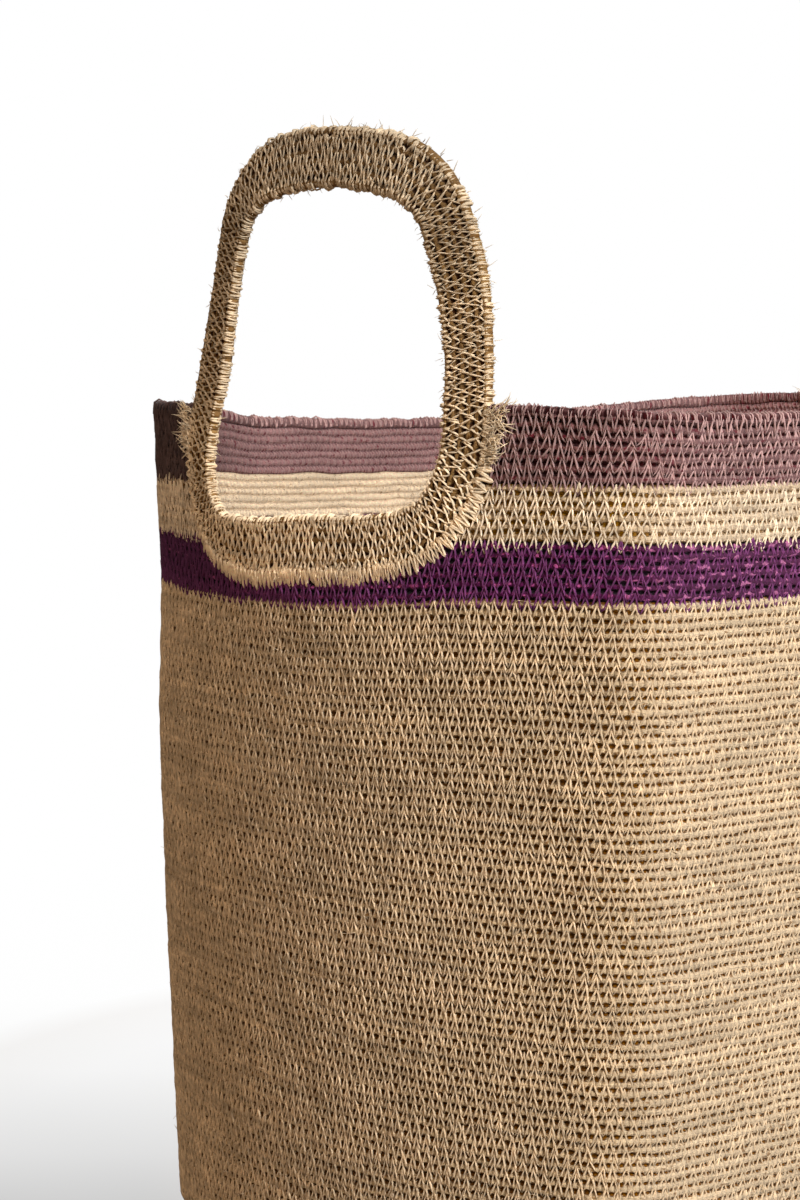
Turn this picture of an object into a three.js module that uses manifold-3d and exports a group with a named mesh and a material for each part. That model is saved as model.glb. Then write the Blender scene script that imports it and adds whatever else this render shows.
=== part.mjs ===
// Soft basket sewn from rows of raffia cord, with a closed ring handle let into each short end.
// Millimetres, +Z up. The origin is the middle of the base, on the floor. The long sides run along X.

import * as THREE from 'three';
import { mergeVertices } from 'three/addons/utils/BufferGeometryUtils.js';
import Module from 'manifold-3d';

// Basket body, measured over the outside of the wall at the rim
const LENGTH = 470;
const WIDTH = 346;
const HEIGHT = 350;
const CORNER_RADIUS = 40;
const END_BOW = 21; // degrees that each half of a short end turns before its corner
const SIDE_BOW = 14; // degrees that each half of a long side turns before its corner

// How far the wall comes in from the rim to the foot
const END_TAPER = 5;
const SIDE_TAPER = 15;
const TAPER_CURVE = 1.2; // above 1 the wall stays upright near the rim and draws in lower down
const FOOT_RADIUS = 9; // outside bend from the wall to the floor
const FOOT_LIP = 3; // flat width of the wall's first row, where it meets the base mat

// Cord and its rows
const WALL = 4; // thickness of a sewn row across the wall
const ROW_PITCH = 3.5;
const GROOVE = 0.8; // depth between two rows
const RIM_CORD = 4.6; // diameter of the plump cord that closes the rim
const MAUVE_ROWS = 6;
const CREAM_ROWS = 6;
const PURPLE_ROWS = 6;
const BASE_THICKNESS = 4;

// Ring handle, measured over its outer edge in the end view
const RING_WIDTH = 181;
const RING_HEIGHT = 178;
const RING_DROP = 63; // how far the ring reaches below the rim
const RING_ROWS = 6;
const RING_ROW_PITCH = 3.75;
const RING_THICKNESS = 5;
const RING_CORNER_RADIUS = 46; // lower corners, outer edge
const RING_SHOULDER_RADIUS = 44; // upper corners, outer edge
const RING_BOTTOM_TURN = 10; // degrees that half of the lower run turns
const RING_CROWN_TURN = 14; // degrees that half of the upper run turns
const RING_LEG_LEAN_LOW = 5; // lean of a leg's outer edge from upright, where it leaves the lower corner
const RING_LEG_LEAN_HIGH = 16; // lean where it reaches the shoulder
const RING_FLATTENING = 0.9; // share of the wall's bow that the ring has lost at its crown

// Working clearances
const SEAM_GAP = 0.3; // between two pieces sewn edge to edge
const CUTTER_REACH = 30; // how far the handle's cut-out runs past the wall on both sides

// Facets
const END_STEPS = 6;
const CORNER_STEPS = 5;
const SIDE_STEPS = 6;
const NATURAL_STEPS = 7;
const RIM_CORD_SIDES = 8;
const FOOT_STEPS = 3;
const RING_STEPS = { bottom: 4, corner: 7, leg: 5, shoulder: 6, crown: 3 };

const CORD_FINISH = { roughness: 0.92, metalness: 0, flatShading: true };

const COLOURS = {
  natural: 0xc2a47e,
  purple: 0x5e3152,
  cream: 0xdac6a6,
  mauve: 0x927070,
  ring: 0xb79975,
};

const RING_BAND = RING_ROWS * RING_ROW_PITCH;
const MAUVE_TOP = HEIGHT - RIM_CORD;
const CREAM_TOP = MAUVE_TOP - MAUVE_ROWS * ROW_PITCH;
const PURPLE_TOP = CREAM_TOP - CREAM_ROWS * ROW_PITCH;
const NATURAL_TOP = PURPLE_TOP - PURPLE_ROWS * ROW_PITCH;

const radians = THREE.MathUtils.degToRad;

const manifold = await Module();
manifold.setup();

/** Unit vector at an angle in radians. */
function unit(angle) {
  return new THREE.Vector2(Math.cos(angle), Math.sin(angle));
}

/** Evenly spaced values from one end to the other, both included. */
function spread(from, to, steps) {
  return Array.from({ length: steps + 1 }, (_, i) => from + ((to - from) * i) / steps);
}

/** Runs of values joined into one list, with the value that two runs share kept once. */
function joinRuns(...runs) {
  return runs.flatMap((run, i) => (i === 0 ? run : run.slice(1)));
}

/**
 * Convex line built of arcs that run into each other without a corner. Every point is found by the
 * angle of its outward normal, so an offset line is the same chain with longer or shorter radii.
 */
class ArcChain {
  constructor(start, startAngle, arcs) {
    let point = start;
    let from = startAngle;
    this.arcs = arcs.map(({ to, radius }) => {
      const centre = point.clone().addScaledVector(unit(from), -radius);
      const arc = { from, to, radius, centre };
      point = centre.clone().addScaledVector(unit(to), radius);
      from = to;
      return arc;
    });
  }

  at(angle, offset = 0) {
    const last = this.arcs.at(-1);
    const arc = this.arcs.find(({ to }) => angle <= to) ?? last;
    return arc.centre.clone().addScaledVector(unit(angle), arc.radius + offset);
  }
}

/** Way from the start of an arc to its end, for a radius of one. */
function chord(from, to) {
  return unit(to).sub(unit(from));
}

/** The two radii that, with their chords, add up to a given way. */
function solveRadii(way, chordA, chordB) {
  const area = chordA.cross(chordB);
  return [way.cross(chordB) / area, chordA.cross(way) / area];
}

/** Quarter of the basket's plan from the middle of a short end to the middle of a long side. */
function quarterPlan(length, width) {
  const endTurn = radians(END_BOW);
  const sideStart = radians(90 - SIDE_BOW);
  const way = new THREE.Vector2(-length / 2, width / 2);
  way.addScaledVector(chord(endTurn, sideStart), -CORNER_RADIUS);
  const endChord = chord(0, endTurn);
  const sideChord = chord(sideStart, Math.PI / 2);
  const [endRadius, sideRadius] = solveRadii(way, endChord, sideChord);
  return new ArcChain(new THREE.Vector2(length / 2, 0), 0, [
    { to: endTurn, radius: endRadius },
    { to: sideStart, radius: CORNER_RADIUS },
    { to: Math.PI / 2, radius: sideRadius },
  ]);
}

/** The plan at one height: full size at the rim and above it, drawn in towards the foot. */
function planAt(z) {
  const depth = Math.max(0, 1 - z / HEIGHT);
  const taper = Math.pow(depth, TAPER_CURVE);
  return quarterPlan(LENGTH - 2 * END_TAPER * taper, WIDTH - 2 * SIDE_TAPER * taper);
}

/** Point of the wall by the angle of its normal in plan, its offset from the outside and its height. */
function wallPoint(plan, angle, offset, z) {
  const quarterAngle = Math.atan2(Math.abs(Math.sin(angle)), Math.abs(Math.cos(angle)));
  const point = plan.at(quarterAngle, offset);
  const x = Math.sign(Math.cos(angle)) * point.x;
  const y = Math.sign(Math.sin(angle)) * point.y;
  return new THREE.Vector3(x, y, z);
}

/** Normal angles of a quarter of the plan, closer together round the corner. */
function quarterAngles() {
  const endTurn = radians(END_BOW);
  const sideStart = radians(90 - SIDE_BOW);
  return joinRuns(
    spread(0, endTurn, END_STEPS),
    spread(endTurn, sideStart, CORNER_STEPS),
    spread(sideStart, Math.PI / 2, SIDE_STEPS),
  );
}

/** Normal angles of half the plan, from the +X end round the +Y side to the -X end. */
function halfAngles() {
  const quarter = quarterAngles();
  const mirrored = quarter.map((angle) => Math.PI - angle).reverse();
  return joinRuns(quarter, mirrored);
}

/** Turns every triangle of a closed geometry to face out. */
function faceOut(geometry) {
  const index = geometry.getIndex();
  const position = geometry.getAttribute('position');
  const [a, b, c] = [new THREE.Vector3(), new THREE.Vector3(), new THREE.Vector3()];
  let volume = 0;
  for (let i = 0; i < index.count; i += 3) {
    a.fromBufferAttribute(position, index.getX(i));
    b.fromBufferAttribute(position, index.getX(i + 1));
    c.fromBufferAttribute(position, index.getX(i + 2));
    volume += a.dot(b.cross(c));
  }
  if (volume < 0) index.array.reverse();
  return geometry;
}

/**
 * Closed solid through a row of cross-sections that all follow one profile. A run that goes all the
 * way round joins its last section to its first, and any other gets a cap at each end.
 */
function loft(sections, profile, goesRound) {
  const sides = profile.length;
  const indices = [];
  const joins = goesRound ? sections.length : sections.length - 1;
  for (let j = 0; j < joins; j += 1) {
    const here = j * sides;
    const next = ((j + 1) % sections.length) * sides;
    for (let i = 0; i < sides; i += 1) {
      const k = (i + 1) % sides;
      indices.push(here + i, here + k, next + k, here + i, next + k, next + i);
    }
  }
  if (!goesRound) {
    const last = (sections.length - 1) * sides;
    for (const [a, b, c] of THREE.ShapeUtils.triangulateShape(profile, [])) {
      indices.push(c, b, a, last + a, last + b, last + c);
    }
  }
  const geometry = new THREE.BufferGeometry().setFromPoints(sections.flat());
  geometry.setIndex(new THREE.BufferAttribute(new Uint32Array(indices), 1));
  return faceOut(geometry);
}

/** Wall or band: a profile of (offset, height) points carried along the given normal angles. */
function wallSolid(profile, angles, goesRound) {
  const plans = profile.map(({ y }) => planAt(y));
  const sections = angles.map((angle) =>
    profile.map(({ x, y }, i) => wallPoint(plans[i], angle, x, y)),
  );
  return loft(sections, profile, goesRound);
}

/** Normal angles of a piece that runs all the way round. */
function roundAngles() {
  const half = halfAngles().slice(0, -1);
  return [...half, ...half.map((angle) => angle + Math.PI)];
}

/** Normal angles of the front (-Y) or back (+Y) half, kept just clear of the middle of the ends. */
function sideAngles(isFront) {
  const clear = SEAM_GAP / 2 / planAt(HEIGHT).arcs[0].radius;
  const inner = halfAngles().slice(1, -1);
  const angles = [clear, ...inner, Math.PI - clear];
  return isFront ? angles.map((angle) => angle + Math.PI) : angles;
}

/** Profile of a band of sewn rows: a groove between rows outside, plain inside. */
function bandProfile(top, rows) {
  const bottom = top - rows * ROW_PITCH + SEAM_GAP;
  const edges = spread(bottom, top, rows);
  const outside = edges.flatMap((z, i) => {
    const groove = new THREE.Vector2(-GROOVE, z);
    if (i === rows) return [groove];
    return [groove, new THREE.Vector2(0, (z + edges[i + 1]) / 2)];
  });
  return [...outside, new THREE.Vector2(-WALL, top), new THREE.Vector2(-WALL, bottom)];
}

/** Profile of the natural wall: up the outside from the lip on the floor, and down the inside. */
function naturalProfile(top) {
  const innerRadius = Math.max(FOOT_RADIUS - WALL, SEAM_GAP);
  const outerCentre = new THREE.Vector2(-FOOT_RADIUS, FOOT_RADIUS);
  const innerCentre = new THREE.Vector2(-WALL - innerRadius, WALL + innerRadius);
  const bend = spread(radians(-90), 0, FOOT_STEPS);
  const outside = bend.map((angle) => unit(angle).multiplyScalar(FOOT_RADIUS).add(outerCentre));
  const inside = bend.map((angle) => unit(angle).multiplyScalar(innerRadius).add(innerCentre));
  const lip = -FOOT_RADIUS - FOOT_LIP;
  const rise = spread(FOOT_RADIUS, top, NATURAL_STEPS).slice(1, -1);
  return [
    new THREE.Vector2(lip, 0),
    ...outside,
    ...rise.map((z) => new THREE.Vector2(0, z)),
    new THREE.Vector2(-GROOVE, top),
    new THREE.Vector2(-WALL, top),
    ...rise.toReversed().map((z) => new THREE.Vector2(-WALL, z)),
    ...inside.reverse(),
    new THREE.Vector2(lip, WALL),
  ];
}

/** Profile of the rim cord, centred on the thickness of the wall. */
function rimProfile() {
  const radius = RIM_CORD / 2;
  const centre = new THREE.Vector2(-WALL / 2, HEIGHT - radius);
  return spread(0, 2 * Math.PI, RIM_CORD_SIDES)
    .slice(0, -1)
    .map((angle) => unit(angle).multiplyScalar(radius).add(centre));
}

/** Flat mat that fills the foot of the wall, one seam gap inside its lip. */
function baseMat() {
  const plan = planAt(0);
  const edge = -FOOT_RADIUS - FOOT_LIP - SEAM_GAP;
  const points = roundAngles().map((angle) => {
    const { x, y } = wallPoint(plan, angle, edge, 0);
    return new THREE.Vector2(x, y);
  });
  return new THREE.ExtrudeGeometry(new THREE.Shape(points), { depth: BASE_THICKNESS, bevelEnabled: false });
}

/** Half of the ring's outer edge in the end view, from the middle of the bottom up to the crown. */
function ringEdge() {
  const bottomEnd = radians(RING_BOTTOM_TURN - 90);
  const legStart = radians(RING_LEG_LEAN_LOW);
  const legEnd = radians(RING_LEG_LEAN_HIGH);
  const crownStart = radians(90 - RING_CROWN_TURN);
  const spare = RING_WIDTH / 2 - RING_CORNER_RADIUS * (1 - Math.cos(bottomEnd));
  const bottomRadius = spare / Math.cos(bottomEnd);
  const way = new THREE.Vector2(0, RING_HEIGHT);
  way.addScaledVector(chord(-Math.PI / 2, bottomEnd), -bottomRadius);
  way.addScaledVector(chord(bottomEnd, legStart), -RING_CORNER_RADIUS);
  way.addScaledVector(chord(legEnd, crownStart), -RING_SHOULDER_RADIUS);
  const legChord = chord(legStart, legEnd);
  const crownChord = chord(crownStart, Math.PI / 2);
  const [legRadius, crownRadius] = solveRadii(way, legChord, crownChord);
  return new ArcChain(new THREE.Vector2(0, -RING_DROP), -Math.PI / 2, [
    { to: bottomEnd, radius: bottomRadius },
    { to: legStart, radius: RING_CORNER_RADIUS },
    { to: legEnd, radius: legRadius },
    { to: crownStart, radius: RING_SHOULDER_RADIUS },
    { to: Math.PI / 2, radius: crownRadius },
  ]);
}

/** Normal angles once round the ring, counter-clockwise in the end view from the bottom. */
function ringAngles() {
  const steps = Object.values(RING_STEPS);
  const runs = ringEdge().arcs.map(({ from, to }, i) => spread(from, to, steps[i]));
  const half = joinRuns(...runs);
  const mirrored = half.map((angle) => Math.PI - angle).reverse();
  return joinRuns(half, mirrored).slice(0, -1);
}

/** Point of the ring in the end view, as (sideways, height over the rim). */
function ringPoint(edge, angle, offset) {
  const point = edge.at(Math.asin(Math.sin(angle)), offset);
  return new THREE.Vector2(Math.sign(Math.cos(angle)) * point.x, point.y);
}

/** Where the middle of the wall's thickness stands at a given sideways place, with its normal angle. */
function endCrossing(plan, sideways) {
  const reach = Math.abs(sideways);
  const [end, corner] = plan.arcs;
  const onEnd = reach <= (end.radius - WALL / 2) * Math.sin(end.to);
  const arc = onEnd ? end : corner;
  const sine = (reach - arc.centre.y) / (arc.radius - WALL / 2);
  const angle = Math.asin(Math.min(1, sine));
  return { x: plan.at(angle, -WALL / 2).x, angle: Math.sign(sideways) * angle };
}

/**
 * Lays a place of the end view on the basket's +X end: on the bowed wall below the rim, and above it
 * on a surface that loses the bow towards the crown while the legs stay where they leave the rim.
 */
function layOnEnd(sideways, height, proud) {
  const plan = planAt(HEIGHT + height);
  const wall = endCrossing(plan, sideways);
  const leg = endCrossing(plan, RING_WIDTH / 2 - RING_BAND / 2);
  const climb = Math.max(0, height) / (RING_HEIGHT - RING_DROP);
  const bow = 1 - RING_FLATTENING * climb;
  const x = leg.x + bow * (wall.x - leg.x);
  const turn = Math.atan(bow * Math.tan(wall.angle));
  return new THREE.Vector3(x + proud * Math.cos(turn), sideways + proud * Math.sin(turn), HEIGHT + height);
}

/** Profile across the ring's band: x from its outer edge inwards is negative, y is proud of the wall. */
function ringProfile() {
  const face = RING_THICKNESS / 2;
  const side = face / 2;
  const edges = spread(0, RING_BAND, RING_ROWS);
  const outside = edges.flatMap((across, i) => {
    const isEdge = i === 0 || i === RING_ROWS;
    const groove = new THREE.Vector2(-across, isEdge ? side : face - GROOVE);
    if (i === RING_ROWS) return [groove];
    return [groove, new THREE.Vector2(-across - RING_ROW_PITCH / 2, face)];
  });
  const inside = [
    new THREE.Vector2(-RING_BAND, -side),
    new THREE.Vector2(-RING_BAND + RING_ROW_PITCH / 2, -face),
    new THREE.Vector2(-RING_ROW_PITCH / 2, -face),
    new THREE.Vector2(0, -side),
  ];
  return [...outside, ...inside];
}

/** Ring handle of the +X end: concentric rows of cord, sewn into one bowed band. */
function ringHandle() {
  const edge = ringEdge();
  const profile = ringProfile();
  const sections = ringAngles().map((angle) =>
    profile.map(({ x, y }) => {
      const place = ringPoint(edge, angle, x);
      return layOnEnd(place.x, place.y, y);
    }),
  );
  return loft(sections, profile, true);
}

/** Block that cuts the seat of the +X ring into the wall: the ring's outline, one seam gap larger. */
function seatCutter() {
  const edge = ringEdge();
  const face = RING_THICKNESS / 2;
  const outline = ringAngles().map((angle) => ringPoint(edge, angle, SEAM_GAP));
  const levels = [-CUTTER_REACH, -face, face, CUTTER_REACH];
  const sections = levels.map((proud) => outline.map(({ x, y }) => layOnEnd(x, y, proud)));
  return loft(sections, outline, false);
}

/** Solid for cutting, from a closed geometry. */
function toSolid(geometry) {
  const bare = geometry.clone();
  bare.deleteAttribute('normal');
  bare.deleteAttribute('uv');
  const merged = mergeVertices(bare);
  const vertProperties = new Float32Array(merged.getAttribute('position').array);
  const triVerts = new Uint32Array(merged.getIndex().array);
  return new manifold.Manifold(new manifold.Mesh({ numProp: 3, vertProperties, triVerts }));
}

/** Geometry of a cut solid. */
function toGeometry(solid) {
  const { vertProperties, triVerts } = solid.getMesh();
  const geometry = new THREE.BufferGeometry();
  geometry.setAttribute('position', new THREE.BufferAttribute(vertProperties, 3));
  geometry.setIndex(new THREE.BufferAttribute(triVerts, 1));
  return geometry;
}

const halfTurn = new THREE.Matrix4().makeRotationZ(Math.PI);
const seat = seatCutter();
const seats = toSolid(seat).add(toSolid(seat.clone().applyMatrix4(halfTurn)));

/** Wall piece with the seats of both handles cut out of it. */
function withSeats(geometry) {
  return toGeometry(toSolid(geometry).subtract(seats));
}

/** Named piece in its own colour. */
function piece(name, geometry, colour) {
  const mesh = new THREE.Mesh(geometry, new THREE.MeshStandardMaterial({ color: colour, ...CORD_FINISH }));
  mesh.name = name;
  return mesh;
}

/** One wall piece for the front side and one for the back, both ending at the handles. */
function sidePair(name, profile, colour) {
  const front = withSeats(wallSolid(profile, sideAngles(true), false));
  const back = withSeats(wallSolid(profile, sideAngles(false), false));
  return [piece(`${name}_front`, front, colour), piece(`${name}_back`, back, colour)];
}

/** The handle of each end: the same ring, turned half round for the -X end. */
function handlePair() {
  const right = piece('right_handle', ringHandle(), COLOURS.ring);
  const left = piece('left_handle', right.geometry, COLOURS.ring);
  left.rotation.z = Math.PI;
  return [left, right];
}

const basket = new THREE.Group();
const naturalWall = wallSolid(naturalProfile(NATURAL_TOP), roundAngles(), true);
const purpleBand = wallSolid(bandProfile(PURPLE_TOP, PURPLE_ROWS), roundAngles(), true);
basket.add(
  piece('base_mat', baseMat(), COLOURS.natural),
  piece('natural_wall', withSeats(naturalWall), COLOURS.natural),
  piece('purple_band', withSeats(purpleBand), COLOURS.purple),
  ...sidePair('cream_band', bandProfile(CREAM_TOP, CREAM_ROWS), COLOURS.cream),
  ...sidePair('mauve_band', bandProfile(MAUVE_TOP, MAUVE_ROWS), COLOURS.mauve),
  ...sidePair('rim_cord', rimProfile(), COLOURS.mauve),
  ...handlePair(),
);

export default basket;
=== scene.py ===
"""Looks of a soft rectangular basket, sewn from rows of raffia cord.

Sums are in millimetres and Blender's meshes in metres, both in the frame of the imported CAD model.
"""

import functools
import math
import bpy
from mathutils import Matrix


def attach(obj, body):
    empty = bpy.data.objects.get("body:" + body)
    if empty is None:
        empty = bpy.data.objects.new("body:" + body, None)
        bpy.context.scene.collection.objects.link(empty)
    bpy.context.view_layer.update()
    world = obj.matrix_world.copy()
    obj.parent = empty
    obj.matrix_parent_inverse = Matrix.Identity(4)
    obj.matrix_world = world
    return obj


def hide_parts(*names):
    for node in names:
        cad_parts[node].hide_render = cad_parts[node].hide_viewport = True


bl_info = {
    "name": "Sewn Raffia Basket",
    "version": (1, 0, 0),
    "blender": (4, 5, 0),
    "location": "3D View > Sidebar > Basket",
    "description": "Rectangular basket of sewn cord rows with coloured bands and ring handles",
    "category": "Add Mesh",
}

import bpy
import numpy as np
from mathutils import Vector

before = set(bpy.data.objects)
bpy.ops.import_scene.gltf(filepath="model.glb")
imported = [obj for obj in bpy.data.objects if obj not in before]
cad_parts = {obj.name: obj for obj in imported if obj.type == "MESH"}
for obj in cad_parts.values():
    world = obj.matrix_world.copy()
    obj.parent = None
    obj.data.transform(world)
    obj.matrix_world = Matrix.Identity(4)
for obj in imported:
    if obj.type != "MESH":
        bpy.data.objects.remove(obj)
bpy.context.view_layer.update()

MM = 0.001

# Plan and wall of the basket, as in the CAD model
CORNER_RADIUS = 40.0
END_BOW = math.radians(21)
SIDE_BOW = math.radians(14)
END_TAPER = 5.0
SIDE_TAPER = 15.0
TAPER_CURVE = 1.2
FOOT_RADIUS = 9.0
FOOT_LIP = 3.0
WALL = 4.0
RIM_CORD = 4.6

# Rows, counted from the top of the natural wall
NATURAL_ROWS = 83
PURPLE_ROWS = CREAM_ROWS = MAUVE_ROWS = 6
CREAM_START = PURPLE_ROWS
MAUVE_START = CREAM_START + CREAM_ROWS
RIM_START = MAUVE_START + MAUVE_ROWS

BANDS = (
    ("purple", 0, PURPLE_ROWS), ("cream", CREAM_START, CREAM_ROWS), ("mauve", MAUVE_START, MAUVE_ROWS))

# Base mat: rows drawn, half the length of its straight middle, and the gap to the foot
MAT_ROWS = 41
MAT_SPINE = 80
SEAM_GAP = 0.3

# Ring handle, as in the CAD model
RING_ROWS = 6
RING_ROW_PITCH = 3.75
RING_BAND = RING_ROWS * RING_ROW_PITCH
RING_FACE = 2.5
RING_CORNER_RADIUS = 46.0
RING_SHOULDER_RADIUS = 44.0
RING_BOTTOM_TURN = math.radians(10)
RING_CROWN_TURN = math.radians(14)
RING_LEG_LEAN = (math.radians(5), math.radians(16))
RING_FLATTENING = 0.9
RING_TWIST = math.radians(13)

# How the soft wall has settled: millimetres up and out, at heights from the floor to the rim and at
# even stations round the rim from the middle of the +X end
SETTLE_HEIGHTS = (0, 120, 220, 282, 324, 350)
SETTLE_RISE = (
    (0, 0, 0, 0, 0, 0, 0, 0, 0, 0, 0, 0, 0, 0, 0, 0),
    (0, 1, 0, -0.5, -1, -1, -0.5, -1.5, -1.5, -0.5, 0, 0, -0.5, -0.5, 0, 0.5),
    (0, 2, 1, -1, -2, -2, -1.5, -4, -4, -1, -0.5, 0, -1, -1, 0, 1),
    (2, 5, 3, 0, -3, -3, -2.5, -6.5, -6.5, -1.2, -0.8, 0, -1, -1, 1, 2),
    (5, 9, 6, 1, -3.2, -3, 0, -2, -3.5, -0.5, -0.5, 1, 1, 1.5, 5, 7),
    (8, 13, 9.5, 2.5, -1.7, -1.5, 5, 4, 0, 3, -0.5, 2.5, 3, 4, 9, 11),
)
SETTLE_SWELL = (
    (0, 0, 0, 0, 0, 0, 0, 0, 0, 0, 0, 0, 0, 0, 0, 0),
    (1, 1, 1, 1.5, 2, 1, 1.5, 1.5, 1, 1, 0.5, 1.5, 2, 1.5, 0.5, 1),
    (1, 1, 1, 2, 3, 2, 2, 2, 1, 1, 0.5, 2, 3, 2, 0.5, 1),
    (0.5, 0.5, 1, 1, 1.5, 1, -0.5, -1, 0.5, 0.5, 0.5, 1, 1.5, 1, 0.5, 0.5),
    (0, 0, 0, 0, 0, 0, 0.5, 0.5, 0, 0, 0, 0, 0, 0, 0, 0),
    (0, -1, 0, 0, 0, 0, 1, 1, 0, 0, 0, 0, 0, 0, 0, -1),
)

# One small dent of the rim: station round it, height, reach along, reach up, and rise at its middle
DENT = (5.5, 350, 26, 30, -2.6)

# How each ring has settled in the end view: millimetres sideways and up, of its outer and then its
# inner edge, at even stations along it from the middle of its bottom
RING_SIDEWAYS = (
    (-4.4, -4.7, -7, -6.1, -1.8, 1.5, 0.2, -1.1, -0.1, 1.9, 5.4, 7.2, 4.9, -0.3, -4.1, -5.3),
    (-4.2, -4.6, -6.2, -4.6, -0.2, 1.2, -0.3, -1.4, 0, 2.6, 2.8, 3.3, 3.4, -5.7, -9, -5.4),
)
RING_UP = (
    (5.2, 3.8, 3.7, 5, 1.9, -1.4, -5, -2.8, -1.1, 1.2, -1.9, -3.9, -4.4, -2.5, -0.1, 1.7),
    (4.6, 2.8, 0.9, 4.3, 1.6, -1.7, -5.5, -4.6, -2.8, -1.4, -1.7, -2.8, -4.1, -3.6, -3.5, 0.8),
)

# Rows above this number on a piece's map have their thread in the material, not as a tube. These are
# the inner faces and the mat, and they are painted lighter: painted light
DRAWN_ROWS = 200

# The handles pull the rows of the short ends loose: from this |x| on and fully from the next, in
# metres.
# There the cord, holes and thread are also painted darker, as painted shade of the ends
SLACK_AND_SHADE = (0.192, 0.212)

# Profile of a row up its outside, as shares of its height, and of a coarser row
FINE_ROW = (0, 0.15, 0.5, 0.85)
COARSE_ROW = (0, 0.5)
INNER_GROOVE = 0.8

# Sections along each run of rows, and the step between those of the rim cord
MAT_COLUMNS = 240
NATURAL_COLUMNS = 340
LOWEST_BAND_COLUMNS = 400
SIDE_COLUMNS = 240
RING_COLUMNS = 420
RIM_STEP = 1.2

# How far the rows, and then their thread, run in behind the rings' edges
ROW_TUCK = 1.5
THREAD_TUCK = 0.5

# Height up to which the foot holds the rows straight
FIRM_FOOT = 40

# Middle of the painted shade at the corner left of the left handle, in metres
SHADED_CORNER = (-0.235, 0.13, 0.33)

# Camera, and area lamps as (name, place, size, power, colour)
CAMERA_PLACE = (-0.8444, -0.6706, 0.3475)
CAMERA_WAY = (0.6997, 0.7145, 0)
LAMP_AIM = Vector((0, 0, 0.2))
LAMPS = (
    ("key", (-0.62, -2.37, 1.4), 0.7, 74, (1, 1, 1)),
    ("fill", (-1.9, -0.7, 1.6), 0.5, 13, (1, 0.75, 0.55)),
    ("back", (1.5, 2.0, 1.3), 1.4, 40, (1, 0.93, 0.86)),
    ("top", (0.2, 0.3, 2.8), 2.2, 18, (1, 0.97, 0.93)),
)
WHITE = (1, 1, 1, 1)

# Slopes of grey whose sum is the tone of a painted shadow on the floor: two depths as seen from the
# camera, and grey at each
PAINTED_FLOOR_SHADOW = (
    (-0.05, 0.02, 0.62, 0.755), (0.02, 0.16, 0.0, 0.17),
    (0.16, 0.31, 0.0, 0.07), (-0.40, -0.06, 0.38, 0.0))

# Looks of each slot's cord and thread: name; colour of odd flecks, and the noise they start at; colours
# of the painted shade in the gaps, and of the thread; depth of the painted shade at the corner left of
# the left handle, or crown for painted light low on the handles and painted shade at their crown; and
# painted shade of the thread at the slack ends
FINISHES = {
    "natural_raffia": (
        "Natural", (0.62, 0.47, 0.32), 0.64, (0.54, 0.38, 0.23), (0.89, 0.80, 0.67), 1, 1.0),
    "purple_raffia": (
        "Purple", (0.85, 0.52, 0.72), 0.565, (0.07, 0.01, 0.06), (0.46, 0.24, 0.43), 0.5, 1.0),
    "cream_raffia": (
        "Cream", (0.78, 0.66, 0.52), 0.64, (0.66, 0.54, 0.41), (0.97, 0.90, 0.79), 1, 0.92),
    "mauve_raffia": (
        "Mauve", (0.44, 0.17, 0.22), 0.6, (0.22, 0.06, 0.07), (0.73, 0.60, 0.59), 0.26, 0.78),
    "handle_raffia": (
        "Handle", (0.44, 0.31, 0.20), 0.64, (0.30, 0.18, 0.11), (0.95, 0.87, 0.745), "crown", 1.0),
}

# The rings' spiky seams start this far under the top of the rim, and their stitches end on the ring
# along this path. Each seam is (place of its outer holes across the ring, length of a stitch).
SPIKES_UNDER_RIM = 1.5
SPIKE_END = ((-0.2, 2.95, 0.55), (2, 3.05, 0.85), (3, 2.3, 1))
SPIKY_SEAMS = ((-4.6, 2.5), (-3.2, 2.9))

# How far the lower and the upper holes stray across their seam: in rows, and in millimetres on the
# spiky and edge seams
STRAY = {
    "wall": (0.13, 0.13), "band": (0.22, 0.22), "ring": (0.25, 0.25), "spike": (0.8, 0.4),
    "edge": (0.7, 0.7)}

# How far tight thread sinks into the rows, on the long sides and under the foot
SUNK_SIDES = 0.3
SUNK_FOOT = 0.75

# Seam under the rim cord, as rows, height over the crests and share of the leg
RIM_SEAM = ((17, -0.25, 0), (17.5, 0.34, 0.2), (18.65, 0.75, 0.65), (19.3, -1.1, 1))
RIM_STITCH = 3.7
RING_STITCH = 4.3
EDGE_STITCH = 2.3
EDGE_THREAD = 1.35

# Loose fibres, with tufts down the first millimetres of the rings' legs
FIBRES_PER_TIER = 70
LOWEST_FIBRE_ROW = -78
RING_FIBRES = 150
TUFT_FIBRES = 190
TUFT_HEIGHT = 15

# Share of a stitch that its rising leg takes
RISING_SHARE = 0.6

# Stitches start at each seam a little further back than at the seam below, and wander: waves of
# (size in stitches, turn per seam, start)
PHASE_STEP = -0.2
PHASE_WAVES = ((0.13, 1.9, 0.0), (0.34, 0.33, 1.0))


def seam_phase(seam):
    """Where a seam's stitches start, in stitches: an even step for each seam, and two sine waves."""
    waves = (size * math.sin(turn * seam + start) for size, turn, start in PHASE_WAVES)
    return PHASE_STEP * seam + sum(waves)


def mirrored(values):
    """Goes on from a list of growing numbers with its own mirror image."""
    values = np.asarray(values)
    return np.concatenate([values, 2 * values[-1] - values[-2::-1]])


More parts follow.
